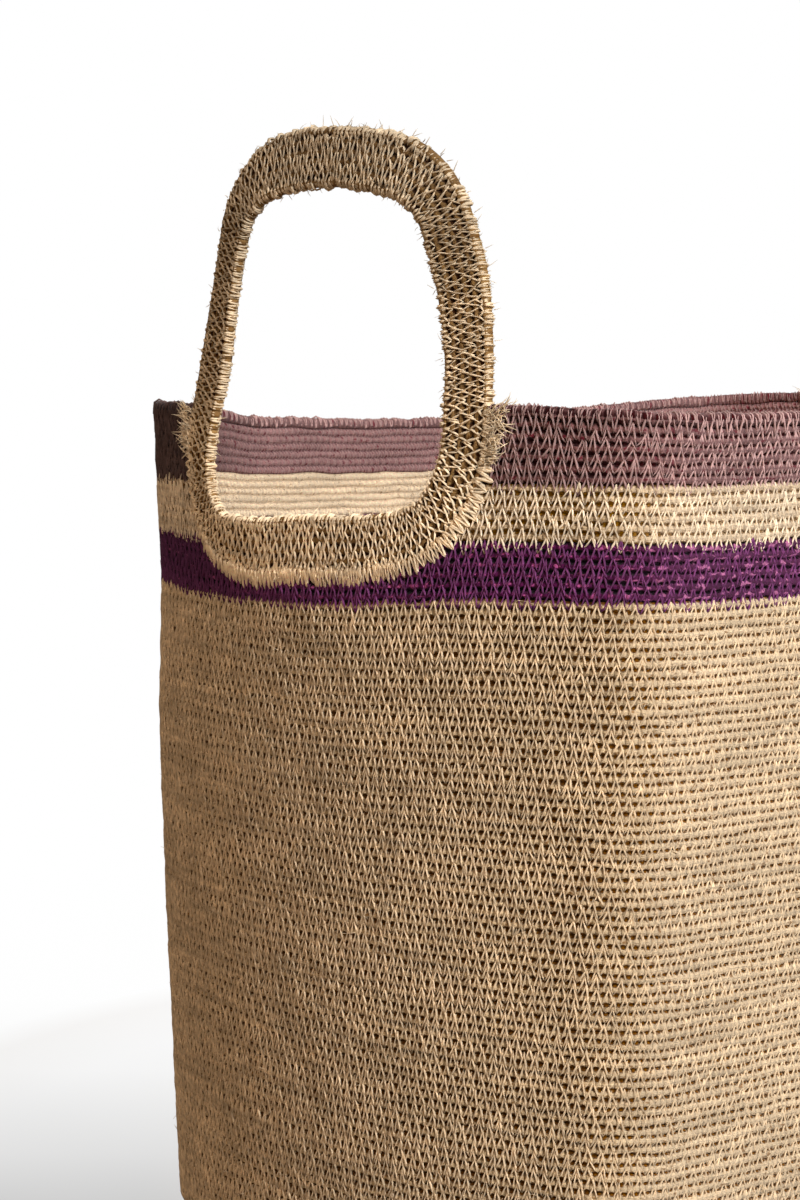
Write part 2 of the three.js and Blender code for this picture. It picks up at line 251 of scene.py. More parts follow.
def eased_table(table, across, up):
    """Reads a table of numbers between its cells.

    Across it is closed and read with Catmull-Rom weights, up it is open and read in straight lines.
    """
    rows, cells = table.shape
    column = np.floor(across).astype(int)
    f = across - column
    weights = (
        (-f + 2 * f**2 - f**3) / 2,
        (2 - 5 * f**2 + 3 * f**3) / 2,
        (f + 4 * f**2 - 3 * f**3) / 2,
        (-(f**2) + f**3) / 2,
    )
    low = np.clip(np.floor(up).astype(int), 0, rows - 2)
    g = np.clip(up - low, 0, 1)
    total = 0
    for step, weight in enumerate(weights):
        cell = (column + step - 1) % cells
        total = total + weight * ((1 - g) * table[low, cell] + g * table[low + 1, cell])
    return total


class Form:
    """Places on the basket, worked out as whole arrays from its sizes."""

    def __init__(self, sizes):
        self.half_length = sizes.length / MM / 2
        self.half_width = sizes.width / MM / 2
        self.height = sizes.height / MM
        self.pitch = sizes.row_pitch / MM
        self.groove = sizes.groove_depth / MM
        self.thread = sizes.thread / MM
        self.natural_top = self.height - RIM_CORD - RIM_START * self.pitch
        self.upright = self.natural_top - FOOT_RADIUS
        _, radii = self.quarter_arcs(self.half_length, self.half_width)
        quarter_turns = np.array([0, END_BOW, math.pi / 2 - SIDE_BOW, math.pi / 2])
        half = mirrored(np.append(0, np.cumsum(radii * np.diff(quarter_turns))))
        self.half_rim = half[-1]
        self.rim = 2 * self.half_rim
        self.rim_marks, self.rim_turns = mirrored(half), mirrored(mirrored(quarter_turns))
        self.stitch = self.rim / round(self.rim / (sizes.stitch / MM))
        rng = np.random.default_rng(11)
        self.wobble_rise = rng.normal(0, 0.24, (NATURAL_ROWS + RIM_START + 6, 150))
        self.wobble_out = rng.normal(0, 0.22, (NATURAL_ROWS + RIM_START + 6, 190))
        self.make_ring_outline(sizes)

    def quarter_arcs(self, half_length, half_width):
        """Centres and radii of the three tangent arcs of a quarter of the plan.

        The corner's radius is given, and the chords of the end's and side's arcs close the quarter.
        """
        turn, side_turn = END_BOW, math.pi / 2 - SIDE_BOW
        end_x, end_y = math.cos(turn) - 1, math.sin(turn)
        side_x, side_y = -math.cos(side_turn), 1 - math.sin(side_turn)
        way_x = -half_length - CORNER_RADIUS * (math.cos(side_turn) - math.cos(turn))
        way_y = half_width - CORNER_RADIUS * (math.sin(side_turn) - math.sin(turn))
        area = end_x * side_y - end_y * side_x
        end = (way_x * side_y - way_y * side_x) / area
        side = (end_x * way_y - end_y * way_x) / area
        centres = [(half_length - end, 0 * end)]
        for before, after, angle in ((end, CORNER_RADIUS, turn), (CORNER_RADIUS, side, side_turn)):
            x, y = centres[-1]
            step = before - after
            centres.append((x + step * math.cos(angle), y + step * math.sin(angle)))
        return centres, (end, CORNER_RADIUS, side)

    def arcs_at(self, z):
        """The quarter's arcs at a height: full size at the rim and drawn in towards the foot."""
        taper = np.clip(1 - z / self.height, 0, None) ** TAPER_CURVE
        return self.quarter_arcs(
            self.half_length - END_TAPER * taper, self.half_width - SIDE_TAPER * taper)

    def turn_at(self, s):
        """Angle of the wall's outward normal in plan, s along the rim from the middle of the +X end."""
        whole = np.floor(s / self.rim)
        return np.interp(s - whole * self.rim, self.rim_marks, self.rim_turns) + 2 * math.pi * whole

    def plan_point(self, turn, z, out):
        """Point of the plan at a height by the angle of its normal, moved out along that normal."""
        quarter = np.arctan2(np.abs(np.sin(turn)), np.abs(np.cos(turn)))
        centres, radii = self.arcs_at(z)
        arc = 1 * (quarter > END_BOW) + (quarter > math.pi / 2 - SIDE_BOW)
        centre_x, centre_y = (np.choose(arc, [centre[axis] for centre in centres]) for axis in (0, 1))
        radius = np.choose(arc, radii) + out
        x = centre_x + radius * np.cos(quarter)
        y = centre_y + radius * np.sin(quarter)
        return np.sign(np.cos(turn)) * x, np.sign(np.sin(turn)) * y

    def settle(self, table, s, z):
        """Reads a table of how far the soft wall has moved, by place along the rim and height."""
        level = np.interp(z, SETTLE_HEIGHTS, range(len(SETTLE_HEIGHTS)))
        moved = eased_table(np.array(table, float), s / self.rim * len(table[0]), level)
        if table is SETTLE_RISE:
            station, height, along, up, rise = DENT
            away = s - station / len(table[0]) * self.rim
            away = np.mod(away + self.half_rim, self.rim) - self.half_rim
            moved = moved + rise * np.exp(-((away / along) ** 2) - ((z - height) / up) ** 2)
        return moved

    def wobble(self, table, s, v):
        """Reads a table of random numbers with one line for each groove between rows."""
        return eased_table(table, s / self.rim * table.shape[1], v + NATURAL_ROWS + 2)

    def wall(self, s, v, out):
        """Place on the wall: s along the rim, v rows over the natural wall, out from the crests.

        The rows climb the upright wall, and below it they follow the foot's quarter bend and lip.
        """
        s, v, out = np.broadcast_arrays(s, v, out)
        down = np.clip(-v * self.pitch - self.upright, 0, None)
        bend = np.clip(down / FOOT_RADIUS, 0, math.pi / 2)
        lip = np.clip(down - FOOT_RADIUS * math.pi / 2, 0, None)
        z = np.where(down > 0, FOOT_RADIUS * (1 - np.sin(bend)), self.natural_top + v * self.pitch)
        inset = FOOT_RADIUS * (1 - np.cos(bend)) + lip
        turn = self.turn_at(s)
        free = np.clip(z / FIRM_FOOT, 0, 1)
        out = out + self.wobble(self.wobble_out, s, v) * free
        across = -inset + out * np.cos(bend) + self.settle(SETTLE_SWELL, s, z)
        x, y = self.plan_point(turn, z, 0)
        x, y = x + across * np.cos(turn), y + across * np.sin(turn)
        rise = self.settle(SETTLE_RISE, s, z) + self.wobble(self.wobble_rise, s, v) * free
        return np.stack([x, y, z - out * np.sin(bend) + rise], -1)

    def make_ring_outline(self, sizes):
        """Five tangent arcs of half the ring's outer edge, from its bottom's middle to its crown."""
        width, height = sizes.ring_width / MM, sizes.ring_height / MM
        self.ring_drop = sizes.ring_drop / MM
        self.ring_climb = height - self.ring_drop
        low, high = RING_LEG_LEAN
        up = math.pi / 2
        turns = np.array([-up, RING_BOTTOM_TURN - up, low, high, up - RING_CROWN_TURN, up])
        normals = np.exp(1j * turns)
        chords = np.diff(normals)
        bottom = (width / 2 - RING_CORNER_RADIUS * (1 - normals[1].real)) / normals[1].real
        way = 1j * height - bottom * chords[0]
        way -= RING_CORNER_RADIUS * chords[1] + RING_SHOULDER_RADIUS * chords[3]
        sides = np.array([[chords[2].real, chords[4].real], [chords[2].imag, chords[4].imag]])
        leg, crown = np.linalg.solve(sides, [way.real, way.imag])
        radii = np.array([bottom, RING_CORNER_RADIUS, leg, RING_SHOULDER_RADIUS, crown])
        points = -1j * self.ring_drop + np.append(0, np.cumsum(radii * chords))
        self.ring_turns, self.ring_radii = turns, radii
        self.ring_centres = points[:-1] - radii * normals[:-1]
        half = np.append(0, np.cumsum((radii - RING_BAND / 2) * np.diff(turns)))
        self.ring_run = 2 * half[-1]
        self.ring_marks, self.ring_mark_turns = mirrored(half), mirrored(turns)

    def ring_outline(self, turn, inward):
        """Point of the ring in the end view, (sideways, over the rim), by its normal's angle."""
        upper = np.arcsin(np.clip(np.sin(turn), -1, 1))
        arc = np.clip(np.searchsorted(self.ring_turns, upper, side="right") - 1, 0, 4)
        place = self.ring_centres[arc] + (self.ring_radii[arc] - inward) * np.exp(1j * upper)
        x, y = place.real, place.imag
        return np.where(np.cos(turn) < 0, -x, x), y

    def end_crossing(self, sideways, z):
        """Where the middle of the end wall's thickness stands sideways, and its normal's angle."""
        reach = np.abs(sideways)
        centres, radii = self.arcs_at(z)
        on_end = reach <= (radii[0] - WALL / 2) * math.sin(END_BOW)
        centre_x, centre_y = (np.where(on_end, centres[0][axis], centres[1][axis]) for axis in (0, 1))
        radius = np.where(on_end, radii[0], radii[1]) - WALL / 2
        turn = np.arcsin(np.clip((reach - centre_y) / radius, 0, 1))
        return centre_x + radius * np.cos(turn), np.sign(sideways) * turn

    def end_place(self, is_left, sideways, over, proud):
        """Lays a place of the end view on an end: on the bowed wall, flatter towards the crown."""
        z = self.height + over
        wall_x, turn = self.end_crossing(sideways, z)
        leg_x, _ = self.end_crossing(self.ring_leg, z)
        climb = np.clip(over, 0, None) / self.ring_climb
        bow = 1 - RING_FLATTENING * climb
        x = leg_x + bow * (wall_x - leg_x)
        slope = np.arctan(bow * np.tan(turn))
        s = np.interp(np.abs(turn), self.rim_turns, self.rim_marks) * np.sign(sideways)
        s = s + (self.half_rim if is_left else 0)
        proud = proud + self.settle(SETTLE_SWELL, s, z) * (1 - climb)
        rise = self.settle(SETTLE_RISE, s, z) * (1 - climb)
        x, y = x + proud * np.cos(slope), sideways + proud * np.sin(slope)
        flip = -1 if is_left else 1
        return np.stack([flip * x, flip * y, z + rise], -1)

    def ring_view(self, along, across, proud):
        """Place in the end view: along the middle line, across from the outer edge, and proud."""
        along, across, proud = np.broadcast_arrays(along, across, proud)
        part = np.mod(along, self.ring_run)
        turn = np.interp(part, self.ring_marks, self.ring_mark_turns)
        middle_x, middle_y = self.ring_outline(turn, RING_BAND / 2)
        twist = self.ring_twist(part, middle_y)
        out = RING_BAND / 2 - across
        reach = out * np.cos(twist) - proud * np.sin(twist)
        depth = out * np.sin(twist) + proud * np.cos(twist)
        sideways, up = np.array(RING_SIDEWAYS, float), np.array(RING_UP, float)
        station = part / self.ring_run * sideways.shape[1]
        inward = across / RING_BAND
        x = middle_x + reach * np.cos(turn) + eased_table(sideways, station, inward)
        y = middle_y + reach * np.sin(turn) + eased_table(up, station, inward)
        return x, y, depth

    def ring(self, is_left, along, across, proud):
        """Place on a ring handle, with the same numbers as in the end view."""
        return self.end_place(is_left, *self.ring_view(along, across, proud))

    def ring_twist(self, part, over):
        """Turn of the band about its middle line: the crown has lost the bow that the legs keep."""
        legs = np.clip(np.abs(np.abs(part / self.ring_run - 0.5) - 0.25) / 0.25, 0, 1)
        climb = np.clip(over / self.ring_climb, 0, 1)
        return -RING_TWIST * climb * (1 - legs**2)

    @property
    def ring_leg(self):
        """Sideways place of the middle of a leg, where it leaves the rim."""
        return self.ring_outline(np.array([0.0]), 0)[0][0] - RING_BAND / 2

    def ring_side(self, side):
        """Samples of the settled ring's outer edge from its bottom up one side: along, sideways, up."""
        along = np.linspace(0, 0.34 * self.ring_run, 120)
        x, y, _ = self.ring_view(side * along, 0.0, 0.0)
        return along, side * x, np.maximum.accumulate(y)

    def ring_below(self):
        """First and last place along the ring whose outer edge lies under the rim cord's top."""
        ends = []
        for side in (-1, 1):
            along, _, up = self.ring_side(side)
            ends.append(side * np.interp(-SPIKES_UNDER_RIM, up, along))
        return ends

    def row_end(self, v, tuck, side):
        """Distance along the rim from the middle of an end to where the ring's edge cuts the row."""
        z = self.natural_top + np.asarray(v, float) * self.pitch
        _, sideways, up = self.ring_side(side)
        over = z - self.height
        reach = np.where(over <= up[0], 0, np.interp(over, up, sideways))
        reach = np.clip(reach - tuck, 0, None)
        _, turn = self.end_crossing(reach, z)
        return np.interp(turn, self.rim_turns, self.rim_marks)


def cord_round(fraction, depth):
    """How far a row's surface lies under its crest: a soft arch between two grooves."""
    arch = np.clip(np.sin(math.pi * fraction), 0, 1) ** 0.55
    return -depth * (1 - arch)


def closed_shell(points, u, v, is_ring):
    """One closed shell from sections: a closed profile carried along a path.

    points is (sections, profile, 3). A ring joins its last section to its first, and any other run
    gets a cap at each end: a strip between the two halves of the profile, or one face.
    """
    sections, sides = points.shape[:2]
    joins = sections if is_ring else sections - 1
    u = np.broadcast_to(u.reshape(len(u), -1), (len(u), sides))
    j = np.arange(joins)[:, None]
    i = np.arange(sides)[None, :]
    k, nxt = (i + 1) % sides, (j + 1) % sections
    quads = [j * sides + i, j * sides + k, nxt * sides + k, nxt * sides + i]
    quads = np.stack(quads, -1).reshape(-1, 4)
    step_u = np.stack([u[j, i], u[j, k], u[j + 1, k], u[j + 1, i]], -1)
    step_v = np.stack([v, np.roll(v, -1), np.roll(v, -1), v], -1)[None] + np.zeros((joins, 1, 1))
    uv = np.stack([step_u, step_v], -1).reshape(-1, 4, 2)
    if not is_ring:
        half = np.arange(sides // 2 - 1)
        strip = np.stack([half, half + 1, sides - 2 - half, sides - 1 - half], -1)
        if sides == 3:
            strip = np.array([[0, 1, 2, 2]])
        last = (sections - 1) * sides
        end = np.concatenate([strip[:, ::-1], last + strip])
        cap_uv = np.stack([u[end // sides, end % sides], v[end % sides]], -1)
        quads, uv = np.concatenate([quads, end]), np.concatenate([uv, cap_uv])
    return points.reshape(-1, 3), quads, uv


def facing_out(vertices, quads, uv):
    """Turns every face of a closed shell to the outside, by the sign of its volume."""
    centre = vertices.mean(0)
    a, b, c, d = (vertices[quads[:, i]] - centre for i in range(4))
    volume = np.einsum("ij,ij->", a, np.cross(b, c) + np.cross(c, d))
    if volume < 0:
        return vertices, quads[:, ::-1], uv[:, ::-1]
    return vertices, quads, uv


def make_piece(name, slot, shells, *nodes):
    """Mesh object from closed shells in millimetres, riding on the basket's one body.

    A piece stands for nodes of the CAD model in its slot's cord, and one without nodes is thread.
    """
    shells = [facing_out(*shell) for shell in shells]
    counts = np.cumsum([0] + [len(s[0]) for s in shells])
    vertices = np.concatenate([s[0] for s in shells]) * MM
    quads = np.concatenate([s[1] + start for s, start in zip(shells, counts)])
    uv = np.concatenate([s[2] for s in shells])
    keep = np.ones(quads.shape, bool)
    keep[:, 0] = quads[:, 0] != quads[:, 1]
    keep[:, 3] = quads[:, 2] != quads[:, 3]
    starts = np.append(0, np.cumsum(keep.sum(1)))
    mesh = bpy.data.meshes.new(name)
    mesh.vertices.add(len(vertices))
    mesh.vertices.foreach_set("co", vertices.astype(np.float32).ravel())
    mesh.loops.add(int(starts[-1]))
    mesh.loops.foreach_set("vertex_index", quads[keep].astype(np.int32))
    mesh.polygons.add(len(quads))
    mesh.polygons.foreach_set("loop_start", starts[:-1].astype(np.int32))
    mesh.polygons.foreach_set("use_smooth", np.ones(len(quads), bool))
    mesh.update(calc_edges=True)
    layer = mesh.uv_layers.new(name="Rows")
    layer.data.foreach_set("uv", uv[keep].astype(np.float32).ravel())
    mesh.validate()
    cord, thread = finish_for(slot, bpy.context.scene)
    mesh.materials.append(cord if nodes else thread)
    piece = bpy.data.objects.new(name, mesh)
    bpy.context.scene.collection.objects.link(piece)
    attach(piece, "root")
    if nodes:
        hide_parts(*nodes)


def spread_rows(first, rows, fractions):
    """Row coordinates and fractions of a profile up through rows, with the last groove closed."""
    v = (first + np.arange(rows)[:, None] + np.array(fractions)[None]).ravel()
    return np.append(v, first + rows), np.append(np.tile(fractions, rows), 0.0)


def rows_shell(form, first, rows, columns, run=None, inside=COARSE_ROW):
    """Closed shell of sewn rows: ridged outside, with shallower ridges inside.

    run gives where each height starts and ends along the rim, and without it the rows go all round.
    """
    outer_v, outer_f = spread_rows(first, rows, FINE_ROW)
    inner_v, inner_f = spread_rows(first, rows, inside)
    v = np.concatenate([outer_v, inner_v[::-1]])
    shown_v = np.concatenate([outer_v, inner_v[::-1] + DRAWN_ROWS])
    inner_out = -WALL - cord_round(inner_f, form.groove * INNER_GROOVE)
    out = np.concatenate([cord_round(outer_f, form.groove), inner_out[::-1]])
    if run is None:
        s = np.linspace(0, form.rim, columns + 1)[:, None]
        return closed_shell(form.wall(s[:-1], v, out), s / 10, shown_v, True)
    t = np.linspace(0, 1, columns + 1)[:, None]
    s = run[0](v) * (1 - t) + run[1](v) * t
    return closed_shell(form.wall(s, v, out), s / 10, shown_v, False)


def zigzag(place, path, start, end, pitch, period, rng, is_ring, width, stray=STRAY["wall"]):
    """Sewing thread as one unbroken three-sided tube that runs to and fro across a seam.

    path holds (row coordinate, height over the crests, share of the leg) from one hole to the other.
    The holes step along by one stitch with a little chance in them, and a falling leg is steeper than
    a rising one. The tube's crest follows the path and its base lies under it, along the path's normal.
    """
    path = np.array(path, float)
    count = max(3, int(round((end - start) / period)))
    step = (end - start) / count
    low = start + step * (np.arange(count + 1) + rng.normal(0, 0.08, count + 1))
    low[-1] = low[0] + (end - start)
    high = start + step * (np.arange(count) + RISING_SHARE + rng.normal(0, 0.08, count))
    low_v, high_v = rng.normal(0, stray[0], count + 1), rng.normal(0, stray[1], count)
    low_v[-1] = low_v[0]
    rising, falling = np.arange(len(path) - 1), np.arange(len(path) - 1, 0, -1)
    order = np.concatenate([rising, falling])
    share = path[order, 2][None]
    is_rising = (np.arange(len(order)) < len(rising))[None]
    foot = np.where(is_rising, low[:-1, None], low[1:, None])
    foot_v = np.where(is_rising, low_v[:-1, None], low_v[1:, None])
    s = (foot + (high[:, None] - foot) * share).ravel()
    v = (path[order, 0][None] + foot_v * (1 - share) + high_v[:, None] * share).ravel()
    line = np.stack([path[:, 0] * pitch, path[:, 1]], 1)
    line_way = np.gradient(line, axis=0)
    normal = np.stack([0 * line[:, 0], -line_way[:, 1], line_way[:, 0]], 1)
    normal = np.tile((normal / np.linalg.norm(normal, axis=1)[:, None])[order], (count, 1))
    sunk = np.where(share > 0.5, rng.normal(0, 0.1, (count, 1)), 0).ravel()
    crest = np.stack([s, v * pitch, np.tile(path[order, 1], count) + sunk], 1)
    before, after = np.roll(crest, 1, 0), np.roll(crest, -1, 0)
    before[0, 0] -= end - start
    after[-1, 0] += end - start
    side = np.cross(after - before, normal)
    widths = width * np.repeat(rng.uniform(0.75, 1.25, 2 * count), len(rising))
    side *= (widths / 2 / (np.linalg.norm(side, axis=1) + 1e-6))[:, None]
    base = crest - 0.75 * normal
    lines = (base - side, crest, base + side)
    points = np.stack([place(p[:, 0], p[:, 1] / pitch, p[:, 2]) for p in lines], 1)
    u = np.append(s, s[-1] + step / len(order)) / 10
    return closed_shell(points, u, np.array([0.0, 0.5, 1.0]), is_ring)


def stitch_path(seam, low=-1.0, high=1.0):
    """A stitch over two rows: down in both outer grooves and over both crests.

    Both legs reach the middle groove nearer the stitch's upper hole, so every second gap is wide.
    """
    return ((seam + low, -0.25, 0), (seam + low + 0.45, 0.3, 0.34), (seam + high - 0.45, 0.3, 0.9),
            (seam + high, -0.25, 1))


def edge_path(is_outer):
    """A stitch round an edge of a ring, in millimetres across and proud, from face to face."""
    half = ((3.9, 2.2, 0), (2.4, 2.9, 0.15), (0.3, 2.1, 0.36), (-0.4, 0, 0.5))
    back = [(x, -y, 1 - share) for x, y, share in half[2::-1]]
    points = [*half, *back]
    if is_outer:
        return [(x, -y, share) for x, y, share in points]
    return [(RING_BAND - x, y, share) for x, y, share in points]


def fibre(place, root, way, curl, radius=0.17):
    """One loose end of raffia: a closed, three-sided spindle from its root along its way, curling."""
    share = np.array([0, 0.3, 0.65, 1.0])
    line = root + share[:, None] * way + (share**2)[:, None] * curl
    side = np.cross(way, (0.31, 0.83, 0.46))
    side /= np.linalg.norm(side)
    other = np.cross(way, side)
    other /= np.linalg.norm(other)
    turn = np.radians((0, 120, 240))
    round_it = np.cos(turn)[:, None] * side + np.sin(turn)[:, None] * other
    points = line[:, None] + (radius * np.array([1, 1, 0.75, 0.25]))[:, None, None] * round_it
    return closed_shell(place(*np.moveaxis(points, -1, 0)), root[0] / 10 + share, np.zeros(3), False)


class Shades:
    """Short helper that builds the nodes of one material or world."""

    def __init__(self, name, kind="materials"):
        self.block = getattr(bpy.data, kind).new(name)
        self.block.use_nodes = True
        self.tree = self.block.node_tree
        self.tree.nodes.clear()

    def node(self, kind, inputs, output=0, **settings):
        """Adds a node, fills its inputs with values or links, and gives one of its outputs."""
        made = self.tree.nodes.new("ShaderNode" + kind)
        for key, value in settings.items():
            setattr(made, key, value)
        for key, value in inputs.items():
            if isinstance(value, bpy.types.NodeSocket):
                self.tree.links.new(value, made.inputs[key])
            else:
                made.inputs[key].default_value = value
        return made.outputs[output] if made.outputs else None

    def place(self):
        """The point's place on the basket, in metres."""
        return self.node("TexCoord", {}, "Object")

    def part(self, vector, axis):
        """One of the three numbers of a vector."""
        return self.node("SeparateXYZ", {0: vector}, axis)

    def maths(self, operation, a, b=0.0, c=0.0):
        """One sum of up to three values."""
        return self.node("Math", {0: a, 1: b, 2: c}, operation=operation)

    def times(self, *values):
        """Product of all values."""
        return functools.reduce(lambda a, b: self.maths("MULTIPLY", a, b), values)

    def plus(self, *values):
        """Sum of all values."""
        return functools.reduce(lambda a, b: self.maths("ADD", a, b), values)

    def noise(self, vector, stretch, scale, detail=2.0, rough=0.5):
        """Noise over a place that is first stretched along its three axes."""
        if stretch:
            vector = self.node("VectorMath", {0: vector, 1: stretch}, operation="MULTIPLY")
        return self.node("TexNoise", {
            "Vector": vector, "Scale": scale, "Detail": detail, "Roughness": rough})

    def mapped(self, value, low, high, to_low, to_high):
        """Straight slope from to_low at low to to_high at high, and level beyond them."""
        return self.node("MapRange", {0: value, 1: low, 2: high, 3: to_low, 4: to_high})

    def spread(self, noise, to_low, to_high):
        """Maps the middle of a noise, which holds nearly all of it, on a wider range."""
        return self.mapped(noise, 0.3, 0.7, to_low, to_high)

    def by_slack_and_shade(self, tight, loose):
        """One value on the long sides, and another on the short ends, which the handles pull loose; it
        sets their bigger holes and the painted shade there.
        """
        return self.mapped(self.maths("ABSOLUTE", self.part(self.place(), 0)), *SLACK_AND_SHADE, tight, loose)

    def mixed(self, share, a, b):
        """Colour a, with a share of colour b."""
        return self.node("Mix", {0: share, 6: a, 7: b}, 2, data_type="RGBA")

    def hue(self, colour, value, saturation=1.0, turn=0.5):
        """Colour with its value and saturation multiplied, and its hue turned away from 0.5."""
        return self.node("HueSaturation", {
            "Hue": turn, "Saturation": saturation, "Value": value, "Color": colour})

    def finish(self, colour, height, roughness, strength, distance):
        """Ends a material as matte plant fibre with a bumpy face."""
        bump = self.node("Bump", {"Strength": strength, "Distance": distance, "Height": height})
        surface = self.node("BsdfPrincipled", {
            "Base Color": colour, "Roughness": roughness, "Normal": bump,
            "Specular IOR Level": 0.12, "Sheen Weight": 0.03, "Sheen Roughness": 0.5})
        self.node("OutputMaterial", {"Surface": surface})
        return self.block


def linear(colour):
    """Colour as written on screen, turned into the renderer's light values, with full cover."""
    value = np.array(colour[:3], float)
    value = np.where(value <= 0.04045, value / 12.92, ((value + 0.055) / 1.055) ** 2.4)
    return (*value, 1.0)


def phase_nodes(made, seam):
    """The same sum as seam_phase, for a seam number in the material."""
    total = made.times(seam, PHASE_STEP)
    for size, turn, start in PHASE_WAVES:
        wave = made.maths("SINE", made.maths("MULTIPLY_ADD", seam, turn, start))
        total = made.maths("MULTIPLY_ADD", wave, size, total)
    return total


def away_from(made, place, target):
    """Distance to the nearest whole number of stitches from a target, at most a half."""
    part = made.maths("FRACT", made.plus(made.maths("SUBTRACT", place, target), 0.5))
    return made.maths("ABSOLUTE", made.maths("SUBTRACT", part, 0.5))


def drawn_stitches(made, stitch, v):
    """Zigzag lines over a map of rows: the stitches of the seams under and over each row.

    A seam's zigzag spans two rows, so a row holds one half of each leg, and the nearest of the four
    legs that pass a place decides.
    """
    row, rise = made.maths("FLOOR", v), made.maths("FRACT", v)
    rising, falling = RISING_SHARE / 2, (RISING_SHARE - 1) / 2
    nearest = None
    for seam, offsets in ((0.0, (rising, 1 + falling)), (1.0, (0.0, 1.0))):
        place = made.maths("SUBTRACT", stitch, phase_nodes(made, made.plus(row, seam)))
        for slope, offset in zip((rising, falling), offsets):
            away = away_from(made, place, made.maths("MULTIPLY_ADD", rise, slope, offset))
            nearest = away if nearest is None else made.maths("MINIMUM", nearest, away)
    return made.mapped(nearest, 0.05, 0.095, 1.0, 0.0)


def painted_light_and_shade(made, base, shaded):
    """Painted shade at the corner left of the left handle, or painted light low on the handles and
    painted shade at their crown.
    """
    place = made.place()
    if shaded == "crown":
        # Painted light low on the ring, fading to painted shade at its crown
        return made.hue(base, made.mapped(made.part(place, 2), 0.29, 0.455, 1.18, 0.68))
    if shaded == 1:
        return base
    # Painted shade round the corner left of the left handle
    away = made.node("VectorMath", {0: place, 1: SHADED_CORNER}, "Value", operation="DISTANCE")
    return made.hue(base, made.mapped(away, 0.035, 0.12, shaded, 1.0))


def cord_material(name, colour, fleck, flecks, gap, thread, shaded, stitch_length):
    """Raffia cord: strands along the row, plump beads between stitches, odd flecks, and painted shade
    in the holes and grooves.

    The pattern follows the piece's own map, with centimetres along the row and one row as the unit up.
    A hole is an oval on a seam's line between two crossings of the thread, wide or narrow by turns.
    """
    made = Shades(name)
    rows = made.node("UVMap", {}, uv_map="Rows")
    u, v = made.part(rows, 0), made.part(rows, 1)
    is_drawn = made.maths("GREATER_THAN", v, DRAWN_ROWS / 2)
    row = made.maths("FLOOR", v)
    seam = made.maths("FLOOR", made.plus(v, 0.5))
    from_seam = made.maths("ABSOLUTE", made.maths("SUBTRACT", v, seam))
    row_tone = made.noise(made.node("CombineXYZ", {0: made.times(u, 0.22), 1: row}), None, 1.0)
    strand = made.noise(rows, (2.6, 5.0, 1.0), 1.7, 3.0, 0.65)
    fine = made.noise(rows, (9.0, 16.0, 1.0), 2.0, 2.0, 0.6)
    patch = made.noise(rows, (0.12, 0.1, 1.0), 1.0)
    # Rows with drawn thread, the inner faces and the mat, are painted 42% lighter: painted light
    shade = made.times(
        made.spread(row_tone, 0.77, 1.23), made.spread(strand, 0.68, 1.24),
        made.spread(fine, 0.86, 1.13), made.spread(patch, 0.88, 1.1),
        made.maths("MULTIPLY_ADD", is_drawn, 0.42, 1.0))
    base = made.hue(linear(colour), shade, 1.0, made.spread(strand, 0.492, 0.508))
    spots = made.noise(rows, (2.4, 1.2, 1.0), 1.3, 1.0)
    base = made.mixed(made.mapped(spots, flecks, flecks + 0.06, 0.0, 0.8), base, linear(fleck))

    stitch = made.times(u, 10 * MM / stitch_length)
    place = made.maths("SUBTRACT", stitch, phase_nodes(made, seam))
    open_up = made.by_slack_and_shade(0.75, 1.35)
    rough = made.maths("MULTIPLY_ADD", strand, 2.0, -1.0)
    height = made.maths("POWER", made.maths("DIVIDE", from_seam, made.times(open_up, 0.24)), 2.0)
    ovals = []
    for target, reach, depth in ((0.07, 0.23, 1.0), (0.56, 0.1, 0.5)):
        across = made.maths("DIVIDE", away_from(made, place, target), made.times(open_up, reach))
        oval = made.plus(made.maths("POWER", across, 2.0), height, rough)
        ovals.append(made.mapped(oval, 0.6, 1.3, depth, 0.0))
    hole = made.maths("MAXIMUM", *ovals)
    # Painted shade in the holes and in the grooves between rows, where shade falls; deeper on the short
    # ends, and less on rows with drawn thread
    groove = made.mapped(from_seam, 0.04, 0.19, made.by_slack_and_shade(0.85, 0.9), 0.0)
    dark = made.maths("MAXIMUM", hole, groove)
    dark = made.times(dark, made.maths("MULTIPLY_ADD", is_drawn, -0.65, 1.0))
    # Painted shade on the short ends: cord and the painted shade of its holes darker and more saturated
    # there
    base = made.hue(base, made.by_slack_and_shade(1.0, 0.86), made.by_slack_and_shade(1.0, 1.2))
    hollow = made.hue(linear(gap), made.by_slack_and_shade(1.0, 0.56), made.by_slack_and_shade(1.15, 1.8))
    base = made.mixed(dark, base, hollow)
    stitches = made.times(drawn_stitches(made, stitch, v), is_drawn)
    base = made.mixed(made.times(stitches, 0.6), base, linear(thread))
    # Painted shade at the corner left of the left handle, and painted light and shade on the handles
    base = painted_light_and_shade(made, base, shaded)

    row_phase = phase_nodes(made, made.plus(row, 0.5))
    turn = made.times(made.maths("SUBTRACT", stitch, row_phase), 2 * math.pi)
    bead = made.maths("ABSOLUTE", made.maths("SINE", made.plus(turn, 0.9)))
    height = made.plus(
        made.times(made.maths("POWER", bead, 0.6), 0.75), made.times(strand, 0.8),
        made.times(fine, 0.25), made.times(hole, -0.9), made.times(stitches, 0.9))
    height = made.times(height, made.maths("MULTIPLY_ADD", is_drawn, -0.5, 1.0))
    return made.finish(base, height, 0.85, 1.0, 0.001)


